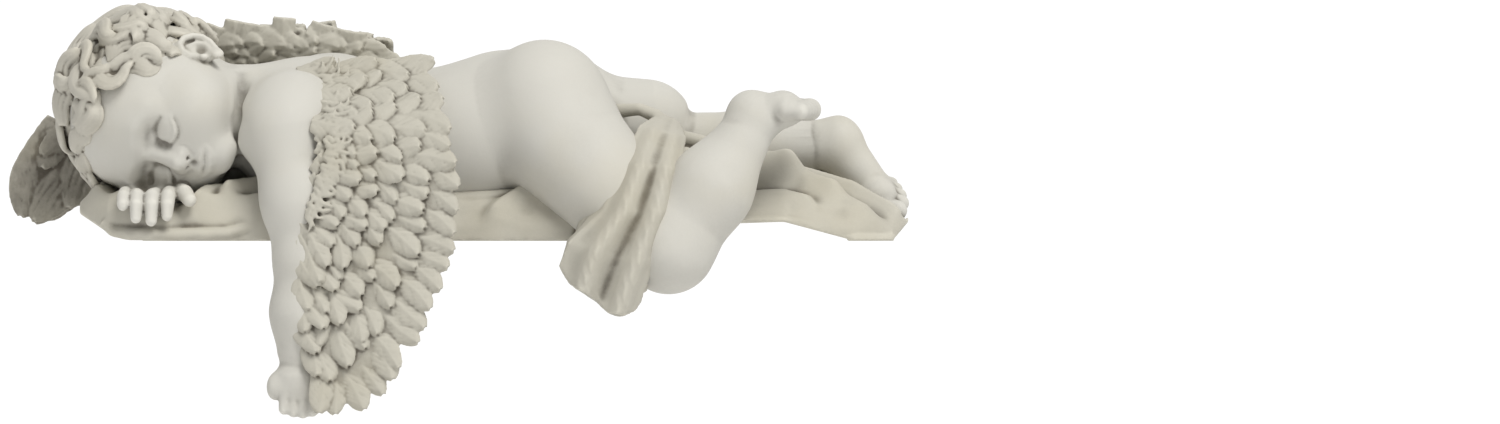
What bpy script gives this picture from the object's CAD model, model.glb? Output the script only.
"""Carves and finishes a sleeping angel shelf statue round its packed casting.

The figure is drawn in millimetres: X from the head to the feet, -Y the front, and z = 0
the top of the shelf it sits on. Each piece is built from blended or overlapping forms,
fused by a voxel skin and given an antique stone finish that darkens in its hollows.
"""

import math

import bmesh
import bpy
import numpy as np
from bpy.props import FloatProperty, FloatVectorProperty, IntProperty, PointerProperty
from mathutils import Matrix, Vector


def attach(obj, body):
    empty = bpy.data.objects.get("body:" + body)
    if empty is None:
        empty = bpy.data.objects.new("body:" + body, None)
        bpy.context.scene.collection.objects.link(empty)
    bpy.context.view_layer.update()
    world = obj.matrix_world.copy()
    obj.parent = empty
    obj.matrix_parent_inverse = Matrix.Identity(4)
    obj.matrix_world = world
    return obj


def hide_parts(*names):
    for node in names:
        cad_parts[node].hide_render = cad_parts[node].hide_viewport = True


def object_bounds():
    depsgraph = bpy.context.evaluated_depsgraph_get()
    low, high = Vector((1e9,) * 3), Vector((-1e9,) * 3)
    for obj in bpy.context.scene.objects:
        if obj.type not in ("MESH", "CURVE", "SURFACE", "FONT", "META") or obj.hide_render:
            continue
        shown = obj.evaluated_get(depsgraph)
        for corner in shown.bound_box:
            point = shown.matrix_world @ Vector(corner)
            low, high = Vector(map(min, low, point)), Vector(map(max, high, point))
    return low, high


bl_info = {
    "name": "Sleeping Angel Shelf Statue",
    "version": (1, 0, 0),
    "blender": (4, 5, 0),
    "location": "View3D > Sidebar > Angel",
    "description": "Models a cast stone angel asleep on a shelf's edge",
    "category": "Add Mesh",
}

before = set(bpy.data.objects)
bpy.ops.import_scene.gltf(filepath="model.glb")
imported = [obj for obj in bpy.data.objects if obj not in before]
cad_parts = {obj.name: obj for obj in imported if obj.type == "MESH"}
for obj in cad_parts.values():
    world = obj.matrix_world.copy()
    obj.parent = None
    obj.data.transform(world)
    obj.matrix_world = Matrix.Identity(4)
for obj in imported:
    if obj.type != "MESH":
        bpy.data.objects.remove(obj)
CASTING = "sleeping_angel"
CAD_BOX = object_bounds()
MM = 0.001
SEED = 11
MOST_TRIANGLES = 190_000
NEARBY = 4.0
SHORTEST_FEATHER = 10.0
LONG_FEATHER = 42.0

# Head: centre, crown direction, the way the face looks, and the skull
HEAD_CENTRE = (-110.5, -4.0, 48.0)
CROWN_AXIS = (-0.985, 0.05, 0.16)
FACE_AXIS = (0.0, -0.80, -0.60)
SKULL_RADII = (31.0, 29.5, 31.5)
SKULL_OFFSET = (0.0, 4.0, -3.0)
FOREHEAD_RADII = (24.0, 18.0, 19.0)
FOREHEAD_OFFSET = (0.0, 9.0, 9.5)
FOREHEAD_SWELL = 1.3
HAIR_CAP_OFFSET = (0.0, 6.0, -5.0)
HAIR_CAP_RADII = (31.0, 29.6, 30.4)
HAIRLINE_UP = 19.0
EAR_PLACE = (27.8, -13.0, -2.0)
EAR_CLEARANCE = 9.0
UNDERCOAT_COUNT = 620

# Voxel skins and thicknesses, in millimetres
ROUGH_VOXEL = 1.3
FLESH_VOXEL = 0.62
HAIR_VOXEL = 0.42
NEAR_WING_VOXEL = 0.43
FAR_WING_VOXEL = 0.5
CLOTH_VOXEL = 0.7
NEAR_PLATE = 5.5
FAR_PLATE = 4.5
RIDGE_FEATHER = 1.8
DRAPE = 6.0
WING_SOFTENING = 0.35

# Wing rows: how far out each lies, the outline first
NEAR_ROWS = (1.0, 0.77, 0.57, 0.4, 0.25)
FAR_ROWS = (1.0, 0.79, 0.59, 0.41, 0.24)
DOWN_COUNT = 190

# Photograph: a frame 1500 x 424 pixels at 0.3665 mm a pixel, seen square on
FRAME_WIDTH_MM = 549.75
FRAME_CENTRE_MM = (107.6, 10.6)
PICTURE_PLANE_MM = -25.0
CAMERA_DISTANCE_MM = 5000.0
SENSOR_MM = 36.0
AMBIENT = 0.42
FLOOR_DROP = 0.03


def unit(vector):
    return np.asarray(vector, float) / np.linalg.norm(vector)


def head_axes():
    """Rows are the head's left, crown and face directions."""
    crown = unit(CROWN_AXIS)
    face = np.asarray(FACE_AXIS, float)
    face = unit(face - crown * np.dot(face, crown))
    return np.array([np.cross(crown, face), crown, face])


HEAD_AXES = head_axes()
HAIR_HOLD = unit((0.0, 1.0, -0.8))


def on_head(left, up, forward):
    """A point given along the head's own axes, from its centre."""
    return np.asarray(HEAD_CENTRE) + np.array([left, up, forward]) @ HEAD_AXES


class Ball:
    """An ellipsoid of flesh."""

    def __init__(self, centre, radii, blend=6.0, axes=None):
        self.centre = np.asarray(centre, float)
        self.radii = np.asarray(radii, float)
        self.axes = np.eye(3) if axes is None else axes
        self.blend = blend

    def extent(self):
        return self.centre, max(self.radii)

    def distance(self, points):
        local = (points - self.centre) @ self.axes.T / self.radii
        near = np.linalg.norm(local, axis=1) + 1e-9
        slope = np.linalg.norm(local / self.radii, axis=1) + 1e-9
        return near * (near - 1.0) / slope

    def add_to(self, bm):
        turn = Matrix(self.axes.T.tolist()).to_4x4()
        place = Matrix.Translation(self.centre) @ turn @ Matrix.Diagonal((*self.radii, 1.0))
        bmesh.ops.create_uvsphere(bm, u_segments=32, v_segments=18, radius=1.0, matrix=place)


class Limb:
    """A tapered round limb between two points."""

    def __init__(self, start, end, start_radius, end_radius, blend=5.0):
        self.start = np.asarray(start, float)
        self.end = np.asarray(end, float)
        self.radii = (start_radius, end_radius)
        self.blend = blend

    def extent(self):
        return (self.start + self.end) / 2.0, np.linalg.norm(self.end - self.start) / 2.0 + max(self.radii)

    def distance(self, points):
        run = self.end - self.start
        length = np.linalg.norm(run)
        along = (points - self.start) @ run / length
        off_axis = np.linalg.norm(points - self.start - along[:, None] * run / length, axis=1)
        taper = np.clip((self.radii[1] - self.radii[0]) / length, -0.95, 0.95)
        share = np.clip((along + off_axis * taper / math.sqrt(1.0 - taper**2)) / length, 0.0, 1.0)
        nearest = self.start + share[:, None] * run
        radius = self.radii[0] + share * (self.radii[1] - self.radii[0])
        return np.linalg.norm(points - nearest, axis=1) - radius

    def add_to(self, bm):
        run = Vector(self.end - self.start)
        turn = run.to_track_quat("Z", "Y").to_matrix().to_4x4()
        middle = Matrix.Translation(Vector((self.start + self.end) / 2.0))
        sizes = {"radius1": self.radii[0], "radius2": self.radii[1], "depth": run.length}
        bmesh.ops.create_cone(bm, cap_ends=True, segments=20, matrix=middle @ turn, **sizes)
        for point, radius in zip((self.start, self.end), self.radii):
            place = Matrix.Translation(Vector(point))
            bmesh.ops.create_uvsphere(bm, u_segments=20, v_segments=12, radius=radius, matrix=place)


class Ring:
    """A thin round line about an axis, for the crease of a plump wrist."""

    def __init__(self, centre, axis, radius, thickness, blend):
        self.centre = np.asarray(centre, float)
        self.axis = unit(axis)
        self.radius = radius
        self.thickness = thickness
        self.blend = blend

    def extent(self):
        return self.centre, self.radius + self.thickness

    def distance(self, points):
        local = points - self.centre
        height = local @ self.axis
        out = np.linalg.norm(local - height[:, None] * self.axis, axis=1) - self.radius
        return np.hypot(out, height) - self.thickness


def chain(points, radii, blend=5.0):
    """Limbs that follow each other through the given points."""
    limbs = []
    for index in range(len(points) - 1):
        pair = radii[index : index + 2]
        limbs.append(Limb(points[index], points[index + 1], pair[0], pair[1], blend))
    return limbs


class Route:
    """Limbs that follow each other closely, blended into the rest as one."""

    def __init__(self, points, radii, blend):
        self.limbs = chain(points, radii, blend)
        self.points = np.asarray(points, float)
        self.widest = max(radii)
        self.blend = blend

    def extent(self):
        centre = self.points.mean(axis=0)
        return centre, np.linalg.norm(self.points - centre, axis=1).max() + self.widest

    def distance(self, points):
        return np.min([limb.distance(points) for limb in self.limbs], axis=0)

    def add_to(self, bm):
        for limb in self.limbs:
            limb.add_to(bm)


def head_ball(place, radii, blend):
    return Ball(on_head(*place), radii, blend, HEAD_AXES)


def head_route(points, radii, blend):
    return Route([on_head(*point) for point in points], radii, blend)


def torso():
    """Back, belly and seat of a plump infant lying on its front."""
    return [
        Ball((-48, 7, 39), (34, 33, 29.5), 8),
        Ball((-6, 8, 36), (42, 33, 28), 12),
        Ball((18, 9, 43), (26, 31, 28), 12),
        Ball((32, -8, 46.5), (25, 22, 27.5), 5),
        Ball((32, 28, 45.5), (25, 22, 27.5), 5),
        Ball((-46, 20, 62), (12, 9, 6), 8),
        Limb((-88, -1, 48), (-64, 2, 45), 17, 20, 8),
    ]


def near_arm():
    """Shoulder, arm and hand that hang straight down in front of the shelf."""
    arm = [Ball((-61, -20, 43), (18, 16, 19), 8)]
    arm += chain([(-62, -26, 40), (-57.5, -32, 14), (-55.5, -34.5, -6)], [14.5, 12.4, 9.8], 8)
    arm += chain([(-55.5, -34.5, -8), (-56.8, -35, -26), (-58, -35, -46)], [9.8, 9.6, 6.9], 8)
    arm += [Ball((-57.5, -36.5, -52), (9.6, 5.4, 8.0), 4), Ball((-66.2, -37, -53.5), (2.9, 3.2, 4.6), 2.5)]
    for x, tip in ((-62.6, -61.4), (-59.2, -62.4), (-55.8, -62.8), (-52.4, -62.2), (-49.4, -60.6)):
        arm.append(Limb((x * 0.9 - 5.7, -38.0, -54), (x, -38.6, tip), 2.5, 2.1, 1.2))
    return arm


def far_arm():
    """The arm folded under the head, its fingers hanging over the cloth."""
    arm = [Ball((-62, 23, 42), (18, 15, 18), 8)]
    arm += chain([(-64, 25, 37), (-98, 25, 22), (-112, -6, 17)], [13, 10, 8], 6)
    arm.append(Ball((-112, -15, 16.5), (12.5, 11, 5.0), 4))
    fingers = ((-121.8, 12.8, 2.5), (-117.0, 8.4, 2.75), (-111.4, 7.4, 2.85), (-105.6, 9.2, 2.75))
    for x, tip, thick in fingers:
        points = [(x + 0.8, -20, 17.6), (x + 0.4, -26.0, 17.5), (x + 0.1, -30.2, 16.3), (x, -32.6, 13.6)]
        points.append((x - 0.1, -33.2, tip))
        arm.append(Route(points, [thick * 0.96, thick, thick, thick * 0.94, thick * 0.74], 0.5))
    arm.append(Route([(-101, -20, 18), (-99.5, -27.5, 17.5), (-97.6, -31.0, 15.0)], [3.2, 3.1, 2.6], 1.0))
    return arm


def near_leg():
    """Bent knee over the shelf's edge, shin raised, the sole turned up."""
    leg = chain([(41, -13, 34), (77, -32, -3)], [22.5, 15.3], 6)
    leg += chain([(79, -32, -2), (93, -30, 19), (108, -25, 42)], [15.2, 14.6, 8.8], 7)
    leg.append(Ball((107.5, -24, 46.4), (8.4, 8.4, 8.6), 4))
    leg += chain([(110, -24, 45.6), (121, -24, 48.0)], [8.2, 6.2], 4)
    leg += [Ball((119.5, -19.5, 50), (6, 5, 5.2), 3), Ball((119.5, -28, 49.4), (5.4, 4.6, 4.6), 3)]
    for index in range(5):
        size = (3.7, 3.1, 2.9, 2.7, 2.5)[index]
        y = (-16.6, -21.6, -25.6, -29.2, -32.2)[index]
        pad = (129.6 - 0.9 * index, y, 48.2 - 0.2 * index)
        leg.append(Limb((121, y * 0.9 - 2.4, 48.2), pad, size * 1.3, size * 1.0, 2.2))
        leg.append(Ball(pad, (size * 1.1, size, size * 1.1), 1.0))
    return leg


def far_leg():
    """Bent leg behind, its foot turned down and its toes resting on the cloth."""
    leg = chain([(44, 30, 40), (69, 31, 42)], [22, 17.8], 8)
    leg += chain([(84, 34, 33), (104, 30, 34), (132, 26, 35.5)], [14.5, 13.6, 9.0], 3)
    leg.append(Ball((140.2, 25, 37.5), (8.4, 9, 8.9), 4))
    leg += chain([(141.5, 25, 33), (155, 25, 17)], [9.0, 6.6], 4)
    leg += [Ball((155, 19.5, 17), (6.6, 5.4, 6), 3), Ball((156, 29, 19.5), (5, 4.4, 5), 3)]
    toes = [(162.0, 17.2, 11.2), (163.4, 21.6, 13.9), (162.9, 25.4, 16.6)]
    toes += [(161.6, 28.6, 19.0), (160.0, 31.4, 21.2)]
    for pad, size in zip(toes, (3.7, 3.0, 2.7, 2.5, 2.3)):
        root = (pad[0] - 6.5, pad[1] * 0.85 + 3.6, pad[2] + 2.5)
        leg += [Limb(root, pad, size, size * 0.88, 1.2), Ball(pad, (size, size * 0.95, size), 0.8)]
    return leg


def head_masses():
    """Skull, cheeks, chin, nose, brows and the rounds of the closed eyes."""
    parts = [
        head_ball(SKULL_OFFSET, SKULL_RADII, 6),
        head_ball((0, -11, 6), (26, 20, 21), 8),
        head_ball(FOREHEAD_OFFSET, FOREHEAD_RADII, 8),
        head_ball((0, -19.5, 20.0), (10.5, 7.5, 7.4), 6),
        head_ball((0, -27.5, 20.0), (7.4, 5.2, 6), 5),
    ]
    parts.append(head_route([(0, -2.5, 24.2), (0, -8.8, 26.8), (0, -12.8, 29.0)], [2.4, 2.7, 3.2], 4))
    for side in (-1, 1):
        parts += [
            head_ball((13.5 * side, -15.5, 14.0), (11.5, 10.5, 10.8), 7),
            head_ball((10.6 * side, -6.4, 21.0), (6.4, 4.9, 5.4), 2.0),
            head_ball((3.4 * side, -13.8, 27.2), (2.2, 1.9, 2.2), 1.8),
        ]
        brow = [(5.0 * side, 1.6, 25.6), (10.4 * side, 3.0, 24.8), (16.5 * side, 1.4, 21.2)]
        parts.append(head_route(brow, [2.2, 2.5, 2.0], 7))
    return parts


def eye_sockets():
    """Soft hollows between brow, nose and lid."""
    cuts = []
    for side in (-1, 1):
        cuts.append(head_ball((9.0 * side, -1.6, 30.6), (6.4, 3.0, 4.0), 5))
        cuts.append(head_ball((5.0 * side, -6.2, 27.6), (1.4, 2.6, 2.2), 3.0))
    return cuts


def on_skin(masses, cuts, route, rise):
    """Places along a line on the face, found on its surface and raised from it."""
    depths = np.linspace(12.0, 36.0, 481)
    places = []
    for left, up in route:
        ray = np.array([on_head(left, up, depth) for depth in depths])
        surface = depths[np.flatnonzero(field(masses, cuts, ray) < 0.0)[-1]]
        places.append((left, up, surface + rise))
    return places


def mirrored(half):
    """A line drawn from the face's middle outwards, made whole."""
    return [(-left, up) for left, up in reversed(half[1:])] + half


def face_lines():
    """Lips and lash lines as ridges, and the grooves beside them, all laid on the face."""
    masses = head_masses()
    sockets = eye_sockets()

    def line(route, rise, radius, blend, under=()):
        """A line whose width swells from its ends to its middle."""
        shares = np.linspace(0.0, 1.0, len(route))
        widths = radius * (0.45 + 0.55 * np.sin(math.pi * shares))
        return head_route(on_skin(masses + list(under), sockets, route, rise), list(widths), blend)

    upper = mirrored([(0, -21.1), (2.6, -20.7), (4.4, -21.0), (6.0, -21.7)])
    lower = mirrored([(0, -24.0), (2.6, -23.8), (4.8, -23.1)])
    lips = [line(upper, -0.55, 1.35, 1.8), line(lower, -0.75, 1.7, 1.8)]
    parting = mirrored([(0, -22.5), (2.2, -22.2), (4.4, -22.1), (6.2, -22.0)])
    grooves = [line(parting, 0.15, 0.5, 1.3, lips), line([(0, -18.0), (0, -18.7), (0, -19.4)], 0.5, 0.8, 2)]
    lashes = []
    for side in (-1, 1):
        shares = np.linspace(0.0, 1.0, 9)
        lash = [(side * (5.4 + 11.2 * share), -8.0 - 2.5 * math.sin(math.pi * share)) for share in shares]
        lashes.append(line(lash, -0.25, 0.85, 1.0))
        grooves.append(line([(left, up - 1.2) for left, up in lash], 0.12, 0.5, 1.2))
        crease = [(side * (6.0 + 9.6 * share), -4.3 + 1.4 * math.sin(math.pi * share)) for share in shares]
        grooves.append(line(crease, 0.15, 0.45, 1.8))
        grooves.append(head_ball((1.9 * side, -15.9, 28.4), (0.8, 0.6, 0.9), 0.9))
    return lips + lashes, sockets + grooves


def ear(side):
    """Outer rim, inner fold, lobe and the small flap before the hollow."""

    def near(up, forward, out):
        return ((EAR_PLACE[0] + out) * side, EAR_PLACE[1] + up, EAR_PLACE[2] + forward)

    rim = [near(-0.8, 1.4, 0.2), near(2.6, 3.6, 0.6), near(5.8, 2.6, 1.2), near(7.4, -0.2, 2.0)]
    rim += [near(6.4, -3.0, 2.8), near(3.4, -4.8, 3.4), near(-0.2, -5.0, 3.4), near(-3.4, -3.8, 2.8)]
    rim.append(near(-5.6, -1.8, 1.8))
    parts = [head_ball(near(0.4, -1.0, -0.8), (2.6, 7.2, 4.8), 1.6)]
    parts.append(head_route(rim, [0.8, 1.0, 1.15, 1.2, 1.25, 1.2, 1.15, 1.1, 1.2], 0.8))
    fold = [near(4.0, -0.6, 1.4), near(1.4, -2.4, 2.2), near(-1.6, -2.4, 2.2), near(-3.8, -0.6, 1.6)]
    parts.append(head_route(fold, [0.8, 0.9, 0.9, 0.8], 0.8))
    parts.append(head_ball(near(-6.8, 0.2, 1.0), (1.7, 2.5, 2.3), 1.2))
    parts.append(head_ball(near(-2.4, 3.2, 0.8), (1.2, 1.7, 1.2), 0.8))
    bowl = head_ball(near(-0.8, 0.6, 2.6), (2.4, 2.6, 2.2), 0.8)
    return parts, [bowl]


def body_hollows():
    """Spine, seat and the soft creases of plump joints."""
    cuts = chain([(-30, 8, 69), (4, 9.5, 67), (26, 10, 73.5)], [2.5, 3, 2.5], 6)
    cuts += chain([(36, 10, 76), (47, 10, 69), (55, 10, 57), (58, 10, 44)], [1.4, 3, 3.4, 3.4], 3)
    cuts += [Ball((25, 1.5, 74), (2.6, 2.6, 2.2), 5), Ball((25, 19, 74), (2.6, 2.6, 2.2), 5)]
    cuts += [Ring((-57.8, -35, -45.6), (0.1, 0, 1), 8.4, 0.4, 4.0)]
    cuts += chain([(-81, -18, 26), (-78.5, -24, 44), (-79, -12, 62)], [0.8, 1.2, 1.0], 4)
    cuts += chain([(86.5, 20, 45), (86.5, 34, 51), (86.5, 46, 40)], [0.4, 0.6, 0.4], 3.5)
    return cuts


def smooth_union(first, second, blend):
    mix = np.clip(0.5 + 0.5 * (second - first) / blend, 0.0, 1.0)
    return second * (1.0 - mix) + first * mix - blend * mix * (1.0 - mix)


def reached(element, points):
    """Which points lie close enough to an element for it to shape the skin there."""
    centre, radius = element.extent()
    return np.flatnonzero(np.linalg.norm(points - centre, axis=1) < radius + element.blend + NEARBY)


def field(elements, cuts, points):
    """Signed distance to the blended elements, less the grooves, good near the surface."""
    total = np.full(len(points), 100.0)
    for element in elements:
        near = reached(element, points)
        total[near] = smooth_union(total[near], element.distance(points[near]), element.blend)
    for cut in cuts:
        near = reached(cut, points)
        total[near] = -smooth_union(-total[near], cut.distance(points[near]), cut.blend)
    return total


def get_points(mesh, kind="co"):
    points = np.empty(len(mesh.vertices) * 3)
    mesh.vertices.foreach_get(kind, points)
    return points.reshape(-1, 3)


def set_points(mesh, points):
    mesh.vertices.foreach_set("co", np.ascontiguousarray(points, float).ravel())
    mesh.update()


def get_normals(mesh):
    return get_points(mesh, "normal")


def edge_ends(mesh):
    pairs = np.empty(len(mesh.edges) * 2, dtype=np.int64)
    mesh.edges.foreach_get("vertices", pairs)
    return pairs.reshape(-1, 2).T


def settle(mesh, elements, cuts, rounds):
    """Moves a skin along its normals on to the blended surface."""
    for _ in range(rounds):
        points = get_points(mesh)
        away = np.clip(field(elements, cuts, points), -1.2, 1.2)
        set_points(mesh, points - get_normals(mesh) * away[:, None])


def neighbour_mean(mesh):
    """A function that averages each point's values over its neighbours."""
    first, second = edge_ends(mesh)
    size = len(mesh.vertices)
    counts = np.bincount(first, minlength=size) + np.bincount(second, minlength=size)
    counts = np.maximum(counts, 1)

    def mean(values):
        columns = []
        for column in values.T:
            total = np.bincount(first, column[second], size) + np.bincount(second, column[first], size)
            columns.append(total / counts)
        return np.array(columns).T

    return mean


def soften(mesh, rounds, share=0.5):
    mean = neighbour_mean(mesh)
    points = get_points(mesh)
    for _ in range(rounds):
        points = points + (mean(points) - points) * share
    set_points(mesh, points)


def hollow_depth(mesh, rounds):
    """How far each point lies below its surroundings, in millimetres."""
    mean = neighbour_mean(mesh)
    points = get_points(mesh)
    around = points.copy()
    for _ in range(rounds):
        around = mean(around)
    return np.einsum("ij,ij->i", around - points, get_normals(mesh))


def to_object(name, bm):
    mesh = bpy.data.meshes.new(name)
    bm.to_mesh(mesh)
    bm.free()
    return link(name, mesh)


def link(name, data):
    built = bpy.data.objects.new(name, data)
    bpy.context.scene.collection.objects.link(built)
    return built


def modify(thing, kind, **settings):
    """Puts one modifier on the object and makes the result its mesh."""
    step = thing.modifiers.new(kind, kind)
    for key, value in settings.items():
        setattr(step, key, value)
    graph = bpy.context.evaluated_depsgraph_get()
    mesh = bpy.data.meshes.new_from_object(thing.evaluated_get(graph))
    old = thing.data
    thing.modifiers.clear()
    thing.data = mesh
    bpy.data.meshes.remove(old)


def skin(thing, voxel):
    """One voxel skin over everything in the object."""
    modify(thing, "REMESH", mode="VOXEL", voxel_size=voxel * 1.0)


def thicken(thing, thickness):
    modify(thing, "SOLIDIFY", thickness=thickness, offset=0.0)


def thin_out(thing):
    """Keeps a skin of quads under the limit of triangles."""
    triangles = 2 * len(thing.data.polygons)
    if triangles > MOST_TRIANGLES:
        modify(thing, "DECIMATE", ratio=MOST_TRIANGLES / triangles)
    return thing


def outer_skin(thing):
    """Drops sealed hollows and loose specks, and keeps the largest closed skin."""
    mesh = thing.data
    label = np.arange(len(mesh.vertices))
    first, second = edge_ends(mesh)
    while True:
        low = np.minimum(label[first], label[second])
        fresh = label.copy()
        np.minimum.at(fresh, first, low)
        np.minimum.at(fresh, second, low)
        fresh = fresh[fresh]
        if np.array_equal(fresh, label):
            break
        label = fresh
    names, sizes = np.unique(label, return_counts=True)
    if len(names) == 1:
        return
    keep = names[np.argmax(sizes)]
    bm = bmesh.new()
    bm.from_mesh(mesh)
    bm.verts.ensure_lookup_table()
    spare = [bm.verts[int(index)] for index in np.flatnonzero(label != keep)]
    bmesh.ops.delete(bm, geom=spare, context="VERTS")
    bm.to_mesh(mesh)
    bm.free()


def join(things, name):
    bm = bmesh.new()
    for thing in things:
        bm.from_mesh(thing.data)
        bpy.data.objects.remove(thing)
    return to_object(name, bm)


def tubes(name, strands, sides=2):
    """Round tapered strands, each a list of points with a radius for each."""
    curve = bpy.data.curves.new(name, "CURVE")
    curve.dimensions = "3D"
    curve.bevel_depth = 1.0
    curve.bevel_resolution = sides
    curve.use_fill_caps = True
    for points, radii in strands:
        spline = curve.splines.new("POLY")
        spline.points.add(len(points) - 1)
        for place, point, radius in zip(spline.points, points, radii):
            place.co = (*point, 1.0)
            place.radius = radius
    guide = link(name, curve)
    graph = bpy.context.evaluated_depsgraph_get()
    mesh = bpy.data.meshes.new_from_object(guide.evaluated_get(graph))
    bpy.data.objects.remove(guide)
    return link(name, mesh)


def fuse(parts, name, voxel, rounds, share=0.5):
    """One softened skin over overlapping parts."""
    made = join(parts, name)
    skin(made, voxel)
    outer_skin(made)
    soften(made.data, rounds, share)
    return made


def flat_grid(bm, along, across):
    """A grid's vertices, and their places from -1 to 1 along and across it."""
    verts = bmesh.ops.create_grid(bm, x_segments=along, y_segments=across, size=1.0)["verts"]
    return verts, np.array([vert.co[:2] for vert in verts])


def place_verts(verts, places):
    for vert, place in zip(verts, places):
        vert.co = place


def rough_form(name, elements):
    """The elements' own solids, overlapping in one object."""
    together = bmesh.new()
    for element in elements:
        bm = bmesh.new()
        element.add_to(bm)
        mesh = bpy.data.meshes.new("element")
        bm.to_mesh(mesh)
        bm.free()
        together.from_mesh(mesh)
        bpy.data.meshes.remove(mesh)
    return to_object(name, together)


def carve_flesh():
    """Head, body and limbs as one soft form."""
    ridges, grooves = face_lines()
    elements = torso() + head_masses() + ridges + near_arm() + far_arm() + near_leg() + far_leg()
    cuts = body_hollows() + grooves
    for side in (-1, 1):
        folds, bowl = ear(side)
        elements += folds
        cuts += bowl
    body = rough_form("angel_figure", elements)
    skin(body, ROUGH_VOXEL)
    settle(body.data, elements, cuts, 4)
    skin(body, FLESH_VOXEL)
    outer_skin(body)
    settle(body.data, elements, cuts, 3)
    soften(body.data, 1)
    return thin_out(body)


def hair_cover(left, up, forward):
    """Above zero where the head has hair: over the brow, round the temples, down to the nape."""
    temple = 20.0 * (abs(left) / 29.5) ** 5
    return up - HAIRLINE_UP + temple + 1.15 * max(0.0, 6.0 - forward)


def spiral(count):
    """Directions spread evenly over a sphere, from the crown down."""
    golden = math.pi * (3.0 - math.sqrt(5.0))
    for index in range(count):
        height = 1.0 - 2.0 * (index + 0.5) / count
        ring = math.sqrt(1.0 - height * height)
        yield np.array((ring * math.cos(golden * index), height, ring * math.sin(golden * index)))


def grows(direction):
    """Whether a lock may lie here: on the scalp and clear of the ears."""
    place = direction * SKULL_RADII
    ear_place = (math.copysign(EAR_PLACE[0], place[0]), EAR_PLACE[1], EAR_PLACE[2])
    return hair_cover(*place) > -2.5 and np.linalg.norm(place - ear_place) > EAR_CLEARANCE


def ray_reach(direction, centre, radii):
    """How far a ray from the head's centre runs before it leaves an ellipsoid."""
    ray = direction / radii
    start = np.asarray(centre) / radii
    along = ray @ start
    square = ray @ ray
    return (along + math.sqrt(max(0.0, along**2 - square * (start @ start - 1.0)))) / square


def scalp_point(direction, lift):
    """A point on the scalp, or on the forehead past the hairline, raised by lift."""
    cap = ray_reach(direction, HAIR_CAP_OFFSET, HAIR_CAP_RADII)
    skull = ray_reach(direction, SKULL_OFFSET, SKULL_RADII)
    forehead = ray_reach(direction, FOREHEAD_OFFSET, FOREHEAD_RADII) + FOREHEAD_SWELL
    return on_head(*(direction * (max(cap, skull, forehead) + lift)))


def lock_strands(direction, heading, length, bends, width, rise, slope):
    """A wavy lock of parallel strands, one edge raised as a crest, that ends in a hook."""
    steps = 20
    stride = length / (steps - 1) / SKULL_RADII[0]
    lanes = (-1.6, -0.8, 0.0, 0.8, 1.6)
    lines = [[] for _ in lanes]
    for index in range(steps):
        share = index / (steps - 1)
        heading = unit(heading - direction * (heading @ direction))
        across = np.cross(direction, heading)
        spread = width * (0.35 + 0.65 * math.sin(math.pi * min(1.0, 0.15 + share * 0.85)))
        arch = math.sin(share * math.pi * 0.8)
        for lane, line in zip(lanes, lines):
            crest = 1.0 + slope * lane / 1.6 - 0.12 * lane * lane
            lift = rise * (0.1 + arch * crest) + 1.4 * share**4
            line.append(scalp_point(unit(direction + across * lane * spread / SKULL_RADII[0]), lift))
        turn = (bends[0] * math.cos(share * math.pi * 2.0 + bends[1]) + bends[2] * share**3) / (steps - 1)
        heading = heading * math.cos(turn) + across * math.sin(turn)
        direction = unit(direction + heading * stride)
        if hair_cover(*(direction * SKULL_RADII)) < 1.5:
            heading = unit(heading + 0.3 * HAIR_HOLD)
        if not grows(direction):
            break
    shares = np.linspace(0.0, 1.0, len(lines[0]))
    if len(shares) < 6:
        return []
    radii = 0.6 + 0.75 * np.sin(math.pi * (0.2 + 0.7 * shares))
    return [(line, radii) for line in lines]


def undercoat():
    """Short fat strands close together, so that no bare scalp shows between the locks."""
    strands = []
    for direction in spiral(UNDERCOAT_COUNT):
        if hair_cover(*(direction * SKULL_RADII)) < 0.3 or not grows(direction):
            continue
        aside = unit(np.cross(direction, (0.0, 1.0, -0.3))) * 0.06
        line = [scalp_point(unit(direction + aside * step), -2.0) for step in (-1.0, 0.0, 1.0)]
        strands.append((line, [2.3, 2.9, 2.3]))
    return strands


def carve_hair(count):
    """Tumbled wavy locks that spread from the crown over a thick cap."""
    rng = np.random.default_rng(SEED)
    strands = []
    for direction in spiral(count):
        if hair_cover(*(direction * SKULL_RADII)) < rng.uniform(-1.5, 1.0) or not grows(direction):
            continue
        outward = direction - np.array((0.1, 1.0, -0.25)) * 1.2
        side = np.cross(direction, outward)
        heading = outward + side * rng.uniform(-1.5, 1.5)
        hand = rng.choice((-1.0, 1.0))
        bends = (rng.uniform(3.4, 6.0) * hand, rng.uniform(-0.9, 0.9), rng.uniform(4.0, 11.0) * hand)
        length = rng.uniform(15.0, 23.0)
        width = rng.uniform(1.3, 1.75)
        rise = rng.uniform(1.6, 4.4)
        strands += lock_strands(direction, heading, length, bends, width, rise, 0.45 * hand)
    strands += undercoat()
    locks = tubes("angel_hair", strands)
    cap = head_ball(HAIR_CAP_OFFSET, HAIR_CAP_RADII, 1)
    return thin_out(fuse([locks, rough_form("scalp", [cap])], "angel_hair", HAIR_VOXEL, 2))


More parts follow.
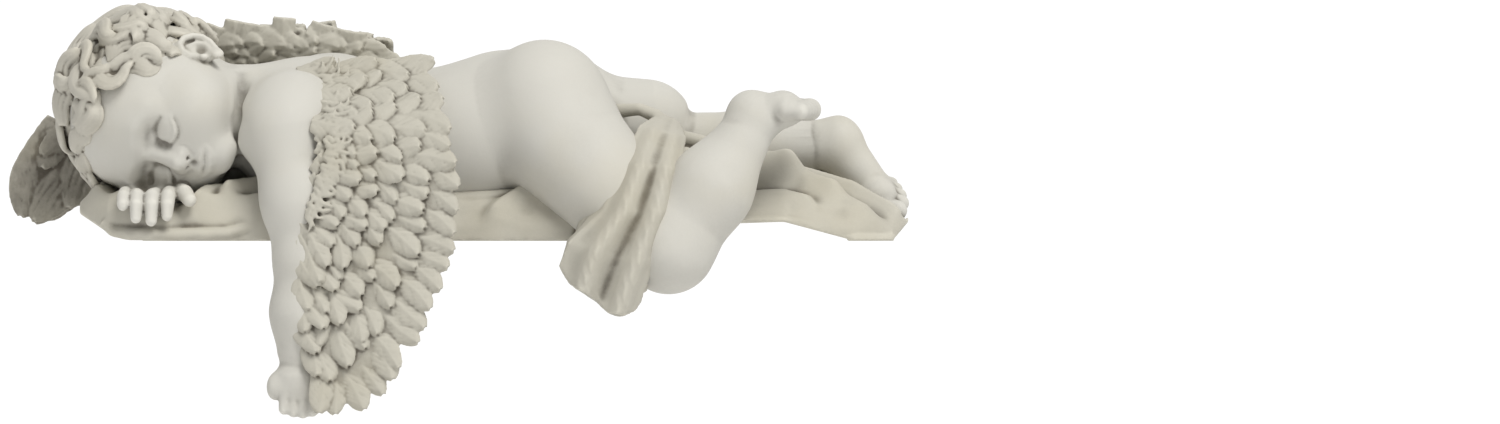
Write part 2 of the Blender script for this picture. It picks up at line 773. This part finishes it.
class Wing:
    """Feathers laid in rows between a leading edge and an outline.

    edge, aim and reach are given at even steps along the leading edge: its points in X and
    Z, the angle of the feathers below level, and how far the outline lies along them.
    """

    def __init__(self, edge, aim, reach, depth, side):
        self.edge = np.asarray(edge, float)
        self.aim = np.radians(aim)
        self.reach = np.asarray(reach, float)
        self.depth = depth
        self.side = side
        self.steps = np.linspace(0.0, 1.0, len(edge))

    def row_point(self, share, out):
        x = np.interp(share, self.steps, self.edge[:, 0])
        z = np.interp(share, self.steps, self.edge[:, 1])
        aim = np.interp(share, self.steps, self.aim)
        reach = np.interp(share, self.steps, self.reach) * out
        return np.array([x + np.cos(aim) * reach, z - np.sin(aim) * reach]), aim

    def lift(self, x, z, height):
        """Points drawn flat in X and Z, laid on the wing's surface and raised from it."""
        y = self.depth(x, z)
        slope_x = (self.depth(x + 0.5, z) - y) / 0.5
        slope_z = (self.depth(x, z + 0.5) - y) / 0.5
        normal = np.stack([-slope_x, np.ones_like(y), -slope_z], axis=-1)
        normal *= self.side / np.linalg.norm(normal, axis=-1, keepdims=True)
        return np.stack([x, y, z], axis=-1) + normal * np.asarray(height)[..., None]

    def feather(self, bm, tip, aim, length, width, base, rise, rng):
        """A crowned blade with a rounded tip, a quill line and slanting barbs."""
        verts, local = flat_grid(bm, 30, 14)
        run = (local[:, 0] + 1.0) / 2.0
        side = local[:, 1]
        behind = length * (1.0 - run)
        blunt = np.clip(1.0 - behind / (width * rng.uniform(0.75, 1.0)), 0.0, 1.0)
        rounded = np.maximum((1.0 - blunt**1.8) ** 0.6, 0.06)
        half = width * 0.5 * np.minimum(1.0, 0.72 + run * 0.5) * rounded
        lean = rng.uniform(-0.25, 0.25) * width * blunt
        sway = rng.uniform(-1.2, 1.2) * np.sin(run * math.pi * 1.3)
        across = side * half + lean + sway + rng.uniform(-1.6, 1.6) * run**2
        x = tip[0] - math.cos(aim) * behind + math.sin(aim) * across
        z = tip[1] + math.sin(aim) * behind + math.cos(aim) * across
        crown = 1.35 * (1.0 - side**2) ** 0.8
        quill = 0.5 * np.exp(-((side / 0.12) ** 2)) * (1.0 - run * 0.5)
        barbs = 0.14 * np.sin((behind + np.abs(across) * 1.5) * 2.3 + rng.uniform(0.0, 6.0))
        barbs += 0.1 * np.sin((behind + np.abs(across) * 1.2) * 1.1 + rng.uniform(0.0, 6.0))
        barbs *= np.minimum(1.0, np.abs(side) * 4.0)
        if length > LONG_FEATHER:
            barbs = 0.22 * np.sin(across * 2.6 + 0.04 * behind) + 0.15 * np.sin(across * 4.7 - 0.03 * behind)
        tilt = rng.uniform(-0.5, 0.5) * side
        curl = rng.uniform(0.3, 1.3) * run**4
        height = base + rise * length * (run - 0.6) + crown + quill + barbs + curl + tilt
        place_verts(verts, self.lift(x, z, height))

    def feathers(self, name, rows, rise, thickness, rng):
        bm = bmesh.new()
        shares = np.linspace(0.0, 1.0, 240)
        for number, (out, length, width, base) in enumerate(rows):
            here = np.array([self.row_point(share, out)[0] for share in shares])
            gaps = np.linalg.norm(np.diff(here, axis=0), axis=1)
            travelled = np.concatenate([[0.0], np.cumsum(gaps)])
            count = max(2, round(travelled[-1] / (width * 0.78)))
            stagger = 0.5 * (number % 2)
            for index in range(count + 1):
                at = travelled[-1] * np.clip((index + stagger + rng.uniform(-0.18, 0.18)) / count, 0.0, 1.0)
                share = np.interp(at, travelled, shares)
                tip, aim = self.row_point(share, out)
                inner = np.interp(share, self.steps, self.reach) * out
                if inner < SHORTEST_FEATHER:
                    continue
                long = min(length * rng.uniform(0.9, 1.1), inner + 3.0)
                short = rng.uniform(0.0, 2.2 if number == 0 else 4.0)
                tip = tip - short * np.array([math.cos(aim), -math.sin(aim)])
                lift = base + rng.uniform(-0.6, 0.6)
                wide = width * rng.uniform(0.88, 1.12)
                self.feather(bm, tip, aim + rng.uniform(-0.18, 0.18), long, wide, lift, rise, rng)
        blades = to_object(name, bm)
        thicken(blades, thickness)
        return blades

    def plate(self, name, thickness):
        """The wing's own thickness under the feathers."""
        bm = bmesh.new()
        for vert in flat_grid(bm, 60, 30)[0]:
            share = (vert.co.x + 1.0) / 2.0
            out = (vert.co.y + 1.0) / 2.0 * 0.9
            flat, _ = self.row_point(share, out)
            vert.co = self.lift(flat[0], flat[1], 0.0)
        under = to_object(name, bm)
        thicken(under, thickness)
        return under


def near_depth(x, z):
    """How far forward the near wing lies: over the back, then straight down."""
    over = 1.0 / (1.0 + np.exp(-(z - 52.0) / 6.0))
    return -41.0 + 34.0 * over + 0.03 * (x + 30.0)


def far_depth(x, z):
    """The far wing folds back behind the head and closes in again at its tips."""
    behind = np.exp(-(((x + 105.0) / 42.0) ** 2))
    over = 1.0 / (1.0 + np.exp(-(z - 66.0) / 5.0))
    return 36.0 + 8.0 * behind - 14.0 * over


def near_wing():
    return Wing(
        edge=[(-52, 62), (-47, 46), (-46, 33), (-50, 22), (-54, 12), (-56, 0), (-56, -8), (-56, -15)],
        aim=[-2, 14, 29, 44, 58, 68, 75.5, 81],
        reach=[44, 49, 54, 62, 68, 66, 58, 49],
        depth=near_depth,
        side=-1,
    )


def far_wing(side):
    return Wing(
        edge=[(-30, 68), (-48, 75), (-68, 76), (-90, 74), (-112, 68), (-132, 56), (-150, 38)],
        aim=[88, 94, 101, 108, 114, 117, 121],
        reach=[52, 58, 62, 62, 56, 57, 32],
        depth=far_depth,
        side=side,
    )


def feather_rows(sizes, outs):
    """Rows of feathers from the outline inwards: long at the rim and shorter on top."""
    rows = []
    for index, out in enumerate(outs):
        length = sizes.primary_length if index == 0 else sizes.covert_length * (1.0 - 0.06 * index)
        rows.append((out, length, sizes.feather_width * (1.0 - 0.04 * index), 0.55 * index))
    return rows


def down_tufts(rng):
    """Fine ruffled down where the near wing grows from the shoulder."""
    strands = []
    for index in range(DOWN_COUNT):
        down = (index / (DOWN_COUNT - 1)) ** 1.25
        z = 63.0 - 52.0 * down + rng.uniform(-1.5, 1.5)
        edge = np.interp(z, [10, 22, 33, 46, 62], [-55.0, -51.0, -47.5, -48.5, -53.5])
        x = edge + rng.uniform(-0.5, 9.0) * (1.0 - 0.75 * down)
        y = float(near_depth(np.array(x), np.array(z))) - 4.0
        aim = math.radians(8 + 52 * down + rng.uniform(-26, 26))
        bend = rng.uniform(-1.4, 1.4)
        long = rng.uniform(4.0, 8.0)
        points = []
        for share in np.linspace(0.0, 1.0, 7):
            angle = aim + bend * (share - 0.4)
            rise = 1.5 * math.sin(share * 2.6)
            points.append((x + math.cos(angle) * long * share, y - rise, z - math.sin(angle) * long * share))
        strands.append((points, [0.8, 0.95, 0.95, 0.85, 0.7, 0.5, 0.25]))
    return tubes("down", strands, 1)


def carve_near_wing(sizes):
    rng = np.random.default_rng(SEED)
    wing = near_wing()
    rows = feather_rows(sizes, NEAR_ROWS)
    parts = [wing.plate("near_plate", NEAR_PLATE), down_tufts(rng)]
    parts.append(wing.feathers("near_feathers", rows, sizes.feather_rise, sizes.feather_thickness, rng))
    return thin_out(fuse(parts, "angel_near_wing", NEAR_WING_VOXEL, 1, WING_SOFTENING))


def ridge_feathers(wing, rng):
    """Small feathers lying along the top edge of the far wing, seen over the back."""
    bm = bmesh.new()
    for drop, start in ((9.5, -92), (6.5, -95), (3.5, -92), (0.5, -95), (-1.5, -92)):
        for x in np.arange(start, -24, 5.2):
            z = np.interp(x, [-96, -70, -48, -26], [71.5, 73.5, 73.0, 64.0]) - drop
            tip = np.array([x + rng.uniform(-1, 1) + 3.0, z + rng.uniform(-0.6, 0.6)])
            aim = math.radians(np.interp(x, [-90, -60, -26], [-8, 4, 30]) + rng.uniform(-9, 9))
            wing.feather(bm, tip, aim, rng.uniform(10, 13), 5.6, 2.6 + 0.12 * drop, 0.12, rng)
    blades = to_object("ridge_feathers", bm)
    thicken(blades, RIDGE_FEATHER)
    return blades


def carve_far_wing(sizes):
    rng = np.random.default_rng(SEED + 1)
    ridge = [(-28, 26, 66), (-48, 25, 73), (-70, 28, 74), (-92, 36, 71), (-114, 44, 65), (-134, 42, 53)]
    ridge.append((-152, 37, 36))
    outer = far_wing(1)
    inner = far_wing(-1)
    rows = feather_rows(sizes, FAR_ROWS)
    lining = [(1.0, 62.0, 15.0, 1.0), (0.42, 30.0, 11.0, 2.0)]
    parts = [outer.plate("far_plate", FAR_PLATE)]
    parts.append(tubes("ridge", [(ridge, [4.2, 3.8, 3.6, 3.6, 3.6, 3.4, 2.4])], 6))
    parts.append(outer.feathers("far_feathers", rows, sizes.feather_rise, sizes.feather_thickness, rng))
    parts.append(inner.feathers("far_lining", lining, 0.05, sizes.feather_thickness, rng))
    parts.append(ridge_feathers(inner, rng))
    return thin_out(fuse(parts, "angel_far_wing", FAR_WING_VOXEL, 1, WING_SOFTENING))


def fold_height(x, y, folds):
    """Height of the cloth over its plain level: a rounded ridge along each fold line."""
    height = np.zeros_like(x)
    for start, end, width, rise in folds:
        run = np.subtract(end, start)
        share = np.clip(((x - start[0]) * run[0] + (y - start[1]) * run[1]) / np.dot(run, run), 0.0, 1.0)
        away = np.hypot(x - start[0] - share * run[0], y - start[1] - share * run[1])
        height += (rise * np.exp(-((away / width) ** 2))) ** 3
    return np.cbrt(height)


def ground_cloth():
    """The cloth under the figure: flat below, rucked above, with a rounded wavy rim."""
    along = [-139, -128, -112, -84, -66, -20, 40, 66, 92, 120, 146, 160, 166]
    front = [-8, -23, -28, -28, -25, -25, -25, -24, -17, -21, -17, -8, 6]
    back = [14, 34, 42, 40, 42, 44, 44, 46, 46, 45, 42, 36, 24]
    front_top = [17, 17, 14, 12, 12, 9, 12, 12, 12, 13, 8, 6, 5]
    back_top = [17, 18, 17, 18, 24, 22, 20, 18, 28, 31, 26, 13, 6]
    underside = [10, 3, 0, 0, 0, 0, 0, 0, 6, 7, 0, 0, 7]
    folds = [
        ((-134, -14), (-122, 14), 4, 4),
        ((-112, -31), (-122, -18), 4, 3),
        ((-98, -27), (-82, -12), 3.2, 8),
        ((-94, -25), (-72, -22), 3.0, 7),
        ((-84, -20), (-66, -6), 4, 10),
        ((-22, -21), (44, -19), 3.0, 5),
        ((-6, -17), (26, -15), 3.2, 7),
        ((14, -24), (40, -10), 3.5, 9),
        ((86, -2), (108, 4), 6, 12),
        ((100, 6), (122, 2), 7, 14),
        ((122, 2), (138, -5), 6, 9),
        ((138, -5), (156, -12), 5, 5),
        ((108, -9), (128, -12), 3.5, 3.5),
        ((128, 12), (162, 2), 4, 7),
        ((70, 44), (150, 34), 7, 5),
        ((-110, 36), (40, 40), 6, 3),
    ]
    bm = bmesh.new()
    bmesh.ops.create_grid(bm, x_segments=300, y_segments=70, size=1.0)
    lower = bmesh.ops.extrude_face_region(bm, geom=list(bm.faces))
    lower_verts = {item for item in lower["geom"] if isinstance(item, bmesh.types.BMVert)}
    is_lower = np.array([vert in lower_verts for vert in bm.verts])
    local = np.array([vert.co[:2] for vert in bm.verts])
    x = along[0] + (local[:, 0] + 1.0) / 2.0 * (along[-1] - along[0])
    inward = (local[:, 1] + 1.0) / 2.0
    first = np.interp(x, along, front) + 0.6 * np.sin(x * 0.13) + 0.3 * np.sin(x * 0.37)
    y = first + (np.interp(x, along, back) - first) * inward
    under = np.interp(x, along, underside)
    plain = np.interp(x, along, front_top) * (1.0 - inward) + np.interp(x, along, back_top) * inward
    side_rim = np.clip((1.0 - np.abs(local[:, 1])) * 5.0, 0.0, 1.0)
    end_rim = np.clip((1.0 - np.abs(local[:, 0])) * 20.0, 0.0, 1.0)
    rounded = (0.45 + 0.55 * np.sqrt(side_rim)) * (0.82 + 0.18 * np.sqrt(end_rim))
    top = (plain + fold_height(x, y, folds)) * rounded
    z = np.where(is_lower, under, np.maximum(top, under + 2.0))
    place_verts(bm.verts, np.stack([x, y, z], axis=1))
    bmesh.ops.recalc_face_normals(bm, faces=bm.faces)
    return to_object("ground_cloth", bm)


def draped_cloth():
    """Cloth drawn over the near thigh: gathered between the legs and spread at the hem."""
    left = np.array([(74, 45), (66, 40), (60, 27), (53, 12), (41, 0), (38, -9)], float)
    right = np.array([(80, 42), (83, 36), (82, 26), (80, 14), (76, 0), (68, -14)], float)
    depths = [8, -13, -31, -39, -42, -41]
    hem_drop = [0, -6, -9, -12, -15, -12, -4]
    steps = np.linspace(0.0, 1.0, len(left))
    bm = bmesh.new()
    verts, local = flat_grid(bm, 150, 110)
    share, down = (local.T + 1.0) / 2.0
    x0, z0 = (np.interp(down, steps, left[:, k]) for k in (0, 1))
    x1, z1 = (np.interp(down, steps, right[:, k]) for k in (0, 1))
    x = x0 + (x1 - x0) * share
    z = z0 + (z1 - z0) * share
    z += np.interp(share, np.linspace(0, 1, len(hem_drop)), hem_drop) * down**3
    phase = share * 2.35 + 0.12 + 0.22 * down
    crest = 1.0 - 2.0 * np.abs(np.sin(math.pi * phase)) ** 0.8
    minor = np.sin(2.0 * math.pi * (share * 4.0 + 0.9 * down)) * 0.2 * down
    wave = crest * (0.8 + 2.7 * down) + minor
    bulge = np.sin(math.pi * np.minimum(1.0, 0.12 + share * 0.8)) * 6.0
    y = np.interp(down, steps, depths) - bulge - wave
    place_verts(verts, np.stack([x, y, z], axis=1))
    sheet = to_object("drape", bm)
    thicken(sheet, DRAPE)
    fill = chain([(62, -22, 18), (54, -33, -4), (60, -35, -18)], [14, 12, 4])
    fill += chain([(74, 0, 34), (84, 3, 32), (98, 6, 26)], [8, 7, 6])
    rolls = [
        ([(54, 14, 47), (60, 6, 48), (67, 3, 48.5), (73, 2, 46), (78, 0, 41)], [2.6, 2.8, 2.4, 2.8, 2.6]),
        ([(76, -7, 36), (83, -3, 38), (90, 0, 36.5), (97, 3, 31), (102, 5, 25)], [2.6, 2.8, 2.6, 2.2, 1.6]),
        ([(77, -12, 31), (84, -7, 32.5), (91, -3, 29), (98, 0, 22)], [2.2, 2.4, 2.2, 1.6]),
        ([(72, -4, 44), (78, -10, 36), (81, -17, 29)], [2.6, 2.6, 2.0]),
    ]
    return [sheet, rough_form("drape_fill", fill), tubes("rolls", rolls, 4)]


def cloth_lip():
    """The thick turned edge along the cloth's lower front, under the head."""
    x = [-130, -126, -120, -112, -102, -92, -84, -79, -72]
    y = [-20, -23, -26, -28.5, -29, -28.5, -27.5, -26, -24]
    z = [6.5, 3.4, 2.4, 2.3, 2.4, 2.6, 3.0, 4.4, 6.0]
    return tubes("lip", [(list(zip(x, y, z)), [1.6, 2.0, 2.3, 2.3, 2.3, 2.3, 2.2, 2.0, 1.6])], 4)


def carve_cloth():
    made = fuse([ground_cloth(), cloth_lip(), *draped_cloth()], "angel_cloth", CLOTH_VOXEL, 3)
    points = get_points(made.data)
    flat = (points[:, 2] < 0.6) & (points[:, 1] > -22.0)
    points[flat, 2] = 0.0
    set_points(made.data, points)
    return thin_out(made)


class Value:
    """A number in a shader, so that sums and products read as they are."""

    def __init__(self, shader, socket):
        self.shader = shader
        self.socket = socket

    def math(self, operation, first, second):
        node = self.shader.node("ShaderNodeMath", {"operation": operation}, {0: first, 1: second})
        return Value(self.shader, node.outputs[0])

    def __add__(self, other):
        return self.math("ADD", self, other)

    def __sub__(self, other):
        return self.math("SUBTRACT", self, other)

    def __rsub__(self, other):
        return self.math("SUBTRACT", other, self)

    def __mul__(self, other):
        return self.math("MULTIPLY", self, other)

    __radd__ = __add__
    __rmul__ = __mul__


class Shader:
    """A stone material under construction."""

    def __init__(self, name):
        self.material = bpy.data.materials.new(name)
        self.material.use_nodes = True
        self.tree = self.material.node_tree
        self.surface = self.tree.nodes["Principled BSDF"]

    def node(self, kind, settings, sockets):
        made = self.tree.nodes.new(kind)
        for key, value in settings.items():
            setattr(made, key, value)
        for key, value in sockets.items():
            self.set(made.inputs[key], value)
        return made

    def set(self, socket, value):
        if isinstance(value, Value):
            value = value.socket
        if isinstance(value, bpy.types.NodeSocket):
            self.tree.links.new(value, socket)
        else:
            socket.default_value = value

    def noise(self, scale, detail, roughness=0.55):
        where = self.tree.nodes.get("where") or self.tree.nodes.new("ShaderNodeTexCoord")
        where.name = "where"
        sockets = {"Vector": where.outputs["Object"], "Scale": scale, "Detail": detail}
        sockets["Roughness"] = roughness
        return Value(self, self.node("ShaderNodeTexNoise", {}, sockets).outputs[0])

    def attribute(self, name):
        return Value(self, self.node("ShaderNodeAttribute", {"attribute_name": name}, {}).outputs["Fac"])

    def clamp(self, value, low, high):
        """Value spread from 0 at low to 1 at high."""
        settings = {"clamp": True, "interpolation_type": "SMOOTHSTEP"}
        sockets = {"Value": value, "From Min": low, "From Max": high}
        return Value(self, self.node("ShaderNodeMapRange", settings, sockets).outputs[0])

    def mix(self, factor, first, second):
        settings = {"data_type": "RGBA"}
        node = self.node("ShaderNodeMix", settings, {"Factor": factor, 6: first, 7: second})
        return node.outputs[2]


def stone(name, light, dark, wash_strength, grain_height):
    """Cast stone with a brown-grey wash lying in its hollows and rubbed off its high parts."""
    shader = Shader(name)
    wash = shader.attribute("wash")
    worn = shader.attribute("worn")
    cloud = shader.noise(38.0, 4.0)
    broad = shader.noise(11.0, 3.0)
    speck = shader.noise(850.0, 3.0)
    patch = shader.noise(150.0, 5.0, 0.65)
    stain = wash * wash_strength * (0.6 + 0.8 * patch)
    amount = stain + (cloud - 0.5) * 0.3 + (broad - 0.5) * 0.25 + (speck - 0.5) * 0.12
    amount = shader.clamp(amount, -0.06, 0.95)
    tinted = shader.mix(amount, (*light, 1.0), (*dark, 1.0))
    bright = tuple(min(1.0, channel * 1.25) for channel in light)
    rubbed = shader.clamp(worn * (0.6 + 0.6 * patch), 0.12, 0.9)
    colour = shader.mix(rubbed * 0.75, tinted, (*bright, 1.0))
    warm = shader.clamp(shader.noise(23.0, 3.0), 0.45, 0.75)
    warmed = tuple(channel * tint for channel, tint in zip(light, (0.93, 0.88, 0.74)))
    colour = shader.mix(warm * 0.28, colour, (*warmed, 1.0))
    shader.set(shader.surface.inputs["Base Color"], colour)
    shader.set(shader.surface.inputs["Roughness"], 0.7 + 0.22 * amount)
    shader.surface.inputs["Specular IOR Level"].default_value = 0.35
    grain = shader.noise(1500.0, 2.0) * 0.5 + patch * 0.5
    bump = shader.node("ShaderNodeBump", {}, {"Strength": 0.4, "Distance": grain_height, "Height": grain})
    shader.set(shader.surface.inputs["Normal"], bump.outputs[0])
    return shader.material


def finish_piece(thing, material, depth_range, shade=0.0):
    """Gives a carved piece its hollow and wear maps, its stone and its place in the frame."""
    mesh = thing.data
    fine = hollow_depth(mesh, 8)
    broad = hollow_depth(mesh, 40)
    deep = np.clip(fine / depth_range, 0.0, 1.0) * 0.8 + np.clip(broad / (depth_range * 3.0), 0.0, 1.0) * 0.6
    down = np.clip(-get_normals(mesh)[:, 2], 0.0, 1.0)
    wash = np.clip(deep + 0.15 * down + shade, 0.0, 1.0)
    worn = np.clip(-fine / depth_range - 0.15, 0.0, 1.0)
    for name, values in (("wash", wash), ("worn", worn)):
        layer = mesh.attributes.new(name, "FLOAT", "POINT")
        layer.data.foreach_set("value", values.astype(np.float32))
    set_points(mesh, get_points(mesh) * MM)
    mesh.materials.clear()
    mesh.materials.append(material)
    mesh.shade_smooth()
    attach(thing, "root")
    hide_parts(CASTING)


def size(name, note, default):
    return FloatProperty(name=name, description=note, default=default)


def tone(name, note, default):
    return FloatVectorProperty(name=name, description=note, subtype="COLOR", default=default)


class AngelSizes(bpy.types.PropertyGroup):
    """Sizes of the carving, in the millimetres that the figure is drawn in."""

    curl_count: IntProperty(name="Curls", description="Locks over a whole sphere, scalp or not", default=210)
    feather_width: size("Feather width", "Widest feather, in mm", 9.6)
    covert_length: size("Covert length", "Short feathers, in mm", 25.0)
    primary_length: size("Primary length", "Outline feathers, in mm", 36.0)
    feather_rise: size("Feather rise", "How steeply tips stand up", 0.16)
    feather_thickness: size("Feather thickness", "Blade, in mm", 2.0)


class AngelColours(bpy.types.PropertyGroup):
    """Stone tones, as linear colours."""

    flesh: tone("Flesh", "Stone of the bare skin", (0.55, 0.537, 0.49))
    hair: tone("Hair", "Stone of the hair", (0.50, 0.478, 0.415))
    feather: tone("Feathers", "Stone of the wings", (0.475, 0.455, 0.39))
    cloth: tone("Cloth", "Stone of the cloth", (0.49, 0.47, 0.405))
    wash: tone("Wash", "Stain that lies in the hollows", (0.10, 0.088, 0.070))


class ANGEL_OT_figure(bpy.types.Operator):
    """Carve the head, body and limbs"""

    bl_idname = "angel.figure"
    bl_label = "Figure"

    def execute(self, context):
        colours = context.scene.angel_colours
        material = stone("stone_flesh", colours.flesh, colours.wash, 0.7, 0.00012)
        finish_piece(carve_flesh(), material, 0.5)
        return {"FINISHED"}


class ANGEL_OT_hair(bpy.types.Operator):
    """Carve the curls"""

    bl_idname = "angel.hair"
    bl_label = "Hair"

    def execute(self, context):
        colours = context.scene.angel_colours
        material = stone("stone_hair", colours.hair, colours.wash, 1.0, 0.0002)
        finish_piece(carve_hair(context.scene.angel_sizes.curl_count), material, 0.36, 0.05)
        return {"FINISHED"}


class ANGEL_OT_wings(bpy.types.Operator):
    """Carve the hanging near wing and the folded far wing"""

    bl_idname = "angel.wings"
    bl_label = "Wings"

    def execute(self, context):
        colours = context.scene.angel_colours
        sizes = context.scene.angel_sizes
        material = stone("stone_feathers", colours.feather, colours.wash, 1.0, 0.0002)
        finish_piece(carve_near_wing(sizes), material, 0.45, 0.04)
        far = carve_far_wing(sizes)
        towards_tip = np.clip((-120.0 - get_points(far.data)[:, 0]) / 20.0, 0.0, 1.0)
        finish_piece(far, material, 0.55, 0.5 * towards_tip)
        return {"FINISHED"}


class ANGEL_OT_cloth(bpy.types.Operator):
    """Carve the cloth under and over the figure"""

    bl_idname = "angel.cloth"
    bl_label = "Cloth"

    def execute(self, context):
        colours = context.scene.angel_colours
        material = stone("stone_cloth", colours.cloth, colours.wash, 0.9, 0.0002)
        finish_piece(carve_cloth(), material, 0.5, 0.09)
        return {"FINISHED"}


def plain_material(name, colour):
    shader = Shader(name)
    shader.surface.inputs["Base Color"].default_value = (*colour, 1.0)
    shader.surface.inputs["Roughness"].default_value = 0.9
    return shader.material


def soft_light(name, towards, strength, spread, colour):
    """An even light from one side; spread is its apparent size in degrees."""
    lamp = bpy.data.lights.new(name, "SUN")
    lamp.energy = strength
    lamp.angle = math.radians(spread)
    lamp.color = colour
    link(name, lamp).rotation_euler = Vector(towards).to_track_quat("Z", "Y").to_euler()


def studio_world():
    """White behind the object, and a dimmer white where it only lights the object."""
    world = bpy.data.worlds.new("studio")
    world.use_nodes = True
    tree = world.node_tree
    tree.nodes["Background"].inputs["Color"].default_value = (1.0, 1.0, 1.0, 1.0)
    path = tree.nodes.new("ShaderNodeLightPath")
    level = tree.nodes.new("ShaderNodeMapRange")
    level.inputs["To Min"].default_value = AMBIENT
    level.inputs["To Max"].default_value = 1.05
    tree.links.new(path.outputs["Is Camera Ray"], level.inputs["Value"])
    tree.links.new(level.outputs[0], tree.nodes["Background"].inputs["Strength"])
    return world


class ANGEL_OT_stage(bpy.types.Operator):
    """Floor, studio light and the camera"""

    bl_idname = "angel.stage"
    bl_label = "Stage"

    def execute(self, context):
        scene = context.scene
        bm = bmesh.new()
        bmesh.ops.create_grid(bm, x_segments=1, y_segments=1, size=6.0)
        bmesh.ops.translate(bm, verts=bm.verts, vec=(0.0, 0.0, CAD_BOX[0][2] - FLOOR_DROP))
        floor = to_object("pale_floor", bm)
        floor.data.materials.append(plain_material("pale_paint", (0.93, 0.93, 0.93)))
        scene.world = studio_world()
        scene.view_settings.view_transform = "Standard"
        soft_light("key", (0.32, -0.50, 0.80), 2.5, 28.0, (1.0, 0.99, 0.97))
        soft_light("fill", (-0.6, -0.75, 0.25), 0.2, 60.0, (0.98, 0.99, 1.0))
        soft_light("back", (-0.2, 0.8, 0.6), 0.5, 60.0, (1.0, 1.0, 1.0))
        camera = link("camera", bpy.data.cameras.new("camera"))
        camera.data.sensor_width = SENSOR_MM
        camera.data.lens = SENSOR_MM * CAMERA_DISTANCE_MM / FRAME_WIDTH_MM
        place = (FRAME_CENTRE_MM[0], PICTURE_PLANE_MM - CAMERA_DISTANCE_MM, FRAME_CENTRE_MM[1])
        camera.location = Vector(place) * MM
        camera.rotation_euler = (math.radians(90.0), 0.0, 0.0)
        scene.camera = camera
        return {"FINISHED"}


class ANGEL_PT_panel(bpy.types.Panel):
    """Lists the statue's pieces and sizes"""

    bl_label = "Sleeping Angel"
    bl_idname = "ANGEL_PT_panel"
    bl_space_type = "VIEW_3D"
    bl_region_type = "UI"
    bl_category = "Angel"

    def draw(self, context):
        layout = self.layout
        for group in (context.scene.angel_sizes, context.scene.angel_colours):
            for name in group.__annotations__:
                layout.prop(group, name)
        for operator in OPERATORS:
            layout.operator(operator.bl_idname)


OPERATORS = (ANGEL_OT_stage, ANGEL_OT_figure, ANGEL_OT_hair, ANGEL_OT_wings, ANGEL_OT_cloth)
CLASSES = (AngelSizes, AngelColours, *OPERATORS, ANGEL_PT_panel)


def register():
    for item in CLASSES:
        bpy.utils.register_class(item)
    bpy.types.Scene.angel_sizes = PointerProperty(type=AngelSizes)
    bpy.types.Scene.angel_colours = PointerProperty(type=AngelColours)


def unregister():
    del bpy.types.Scene.angel_colours
    del bpy.types.Scene.angel_sizes
    for item in reversed(CLASSES):
        bpy.utils.unregister_class(item)


def main():
    register()
    bpy.ops.angel.stage()
    bpy.ops.angel.figure()
    bpy.ops.angel.hair()
    bpy.ops.angel.wings()
    bpy.ops.angel.cloth()


if __name__ == "__main__":
    main()
